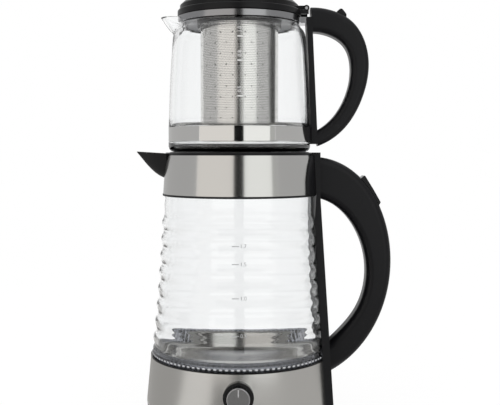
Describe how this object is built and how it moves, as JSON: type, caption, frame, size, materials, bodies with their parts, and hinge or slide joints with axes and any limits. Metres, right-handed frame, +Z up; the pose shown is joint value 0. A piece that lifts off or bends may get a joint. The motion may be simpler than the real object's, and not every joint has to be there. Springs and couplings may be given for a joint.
{
  "type": "automatic tea maker",
  "caption": "Glass kettle on a power base with a glass teapot and lift-out infuser stacked on top, hinged teapot lid and a front temperature knob.",
  "frame": {"origin": "on the table, under the kettle's axis, in the plane of the rubber foot ring", "axes": "+Z up; -X along the spout; +X along both handles; -Y towards the knob"},
  "size_m": [0.2259, 0.1733, 0.3835],
  "materials": {
    "black_plastic": "satin moulded black",
    "handle_plastic": "fine satin black",
    "brushed_steel": "brushed",
    "bright_steel": "polished",
    "fastener_steel": "plain",
    "body_glass": "clear",
    "clear_plastic": "clear",
    "seal_rubber": "matt",
    "silicone": "translucent matt",
    "aluminium": "cast",
    "brass": "plain",
    "board_green": "satin",
    "component_grey": "matt",
    "flange_grey": "satin"
  },
  "bodies": {
    "power_base": {"power_base_cover": "black_plastic", "power_base_bottom": "black_plastic", "foot_ring": "seal_rubber", "base_connector": "black_plastic", "base_contacts": "brass", "base_screws": "fastener_steel", "cord_gland": "seal_rubber"},
    "kettle": {"bottom_cover": "black_plastic", "bottom_screws": "fastener_steel", "base_frame": "black_plastic", "base_shell": "brushed_steel", "trim_ring": "black_plastic", "light_ring": "clear_plastic", "lamp_strip": "component_grey", "heater_dish": "bright_steel", "glass_gaskets": "silicone", "heat_spreader": "aluminium", "heating_element": "fastener_steel", "thermal_sensor": "component_grey", "kettle_connector": "black_plastic", "connector_contacts": "brass", "control_board": "board_green", "board_components": "component_grey", "selector_switch": "component_grey", "knob_bezel": "black_plastic", "glass_body": "body_glass", "collar_band": "brushed_steel", "collar_gasket": "seal_rubber", "top_rim": "black_plastic", "spout": "black_plastic", "handle_saddle": "handle_plastic", "handle_strap": "handle_plastic", "handle_screws": "fastener_steel", "handle_grip": "handle_plastic", "handle_cover": "handle_plastic", "button_pin": "fastener_steel", "button_spring": "fastener_steel"},
    "knob": {"knob": "brushed_steel", "knob_spindle": "fastener_steel"},
    "lid_button": {"lid_button": "handle_plastic"},
    "release_rod": {"release_rod": "component_grey"},
    "kettle_lid": {"kettle_lid": "black_plastic", "kettle_lid_plate": "bright_steel", "lid_gasket": "silicone"},
    "teapot": {"teapot_glass": "body_glass", "teapot_band": "brushed_steel", "neck_ring": "handle_plastic", "teapot_strap": "handle_plastic", "band_clamp": "handle_plastic", "teapot_handle_grip": "handle_plastic", "teapot_handle_cover": "handle_plastic"},
    "teapot_button": {"teapot_button": "handle_plastic"},
    "infuser": {"infuser_collar": "black_plastic", "infuser_gasket": "silicone", "infuser_plate": "flange_grey", "socket_ring": "black_plastic", "infuser_basket": "bright_steel", "hinge_pin": "fastener_steel"},
    "teapot_lid": {"teapot_lid": "black_plastic", "lid_liner": "flange_grey"}
  },
  "joints": [
    {"name": "kettle_lift", "type": "slide", "parent": "power_base", "child": "kettle", "axis": [0, 0, 1], "range_m": [0, 0.06]},
    {"name": "kettle_lid_lift", "type": "slide", "parent": "kettle", "child": "kettle_lid", "axis": [0, 0, 1], "range_m": [0, 0.05]},
    {"name": "teapot_lift", "type": "slide", "parent": "kettle_lid", "child": "teapot", "axis": [0, 0, 1], "range_m": [0, 0.06]},
    {"name": "infuser_lift", "type": "slide", "parent": "teapot", "child": "infuser", "axis": [0, 0, 1], "range_m": [0, 0.13]},
    {"name": "teapot_lid_hinge", "type": "hinge", "parent": "infuser", "child": "teapot_lid", "pos_m": [0.0586, 0, 0.3682], "axis": [0, 1, 0], "range_deg": [0, 95]},
    {"name": "knob_turn", "type": "hinge", "parent": "kettle", "child": "knob", "pos_m": [0, -0.085, 0.0444], "axis": [0, 1, 0], "range_deg": [0, 270]},
    {"name": "lid_button_press", "type": "hinge", "parent": "kettle", "child": "lid_button", "pos_m": [0.1202, 0, 0.1946], "axis": [0, -1, 0], "range_deg": [0, 7], "stiffness_Nm_per_rad": 0.6, "springref_deg": -5.73},
    {"name": "release_rod_slide", "type": "slide", "parent": "kettle", "child": "release_rod", "axis": [-1, 0, 0], "range_m": [0, 0.0025]},
    {"name": "teapot_button_press", "type": "slide", "parent": "teapot", "child": "teapot_button", "axis": [0, 0, -1], "range_m": [0, 0.0018], "stiffness_N_per_m": 400, "springref_m": -0.002}
  ],
  "couplings": [
    {"joint": "release_rod_slide", "follows": "lid_button_press", "m_per_rad": 0.020462}
  ]
}
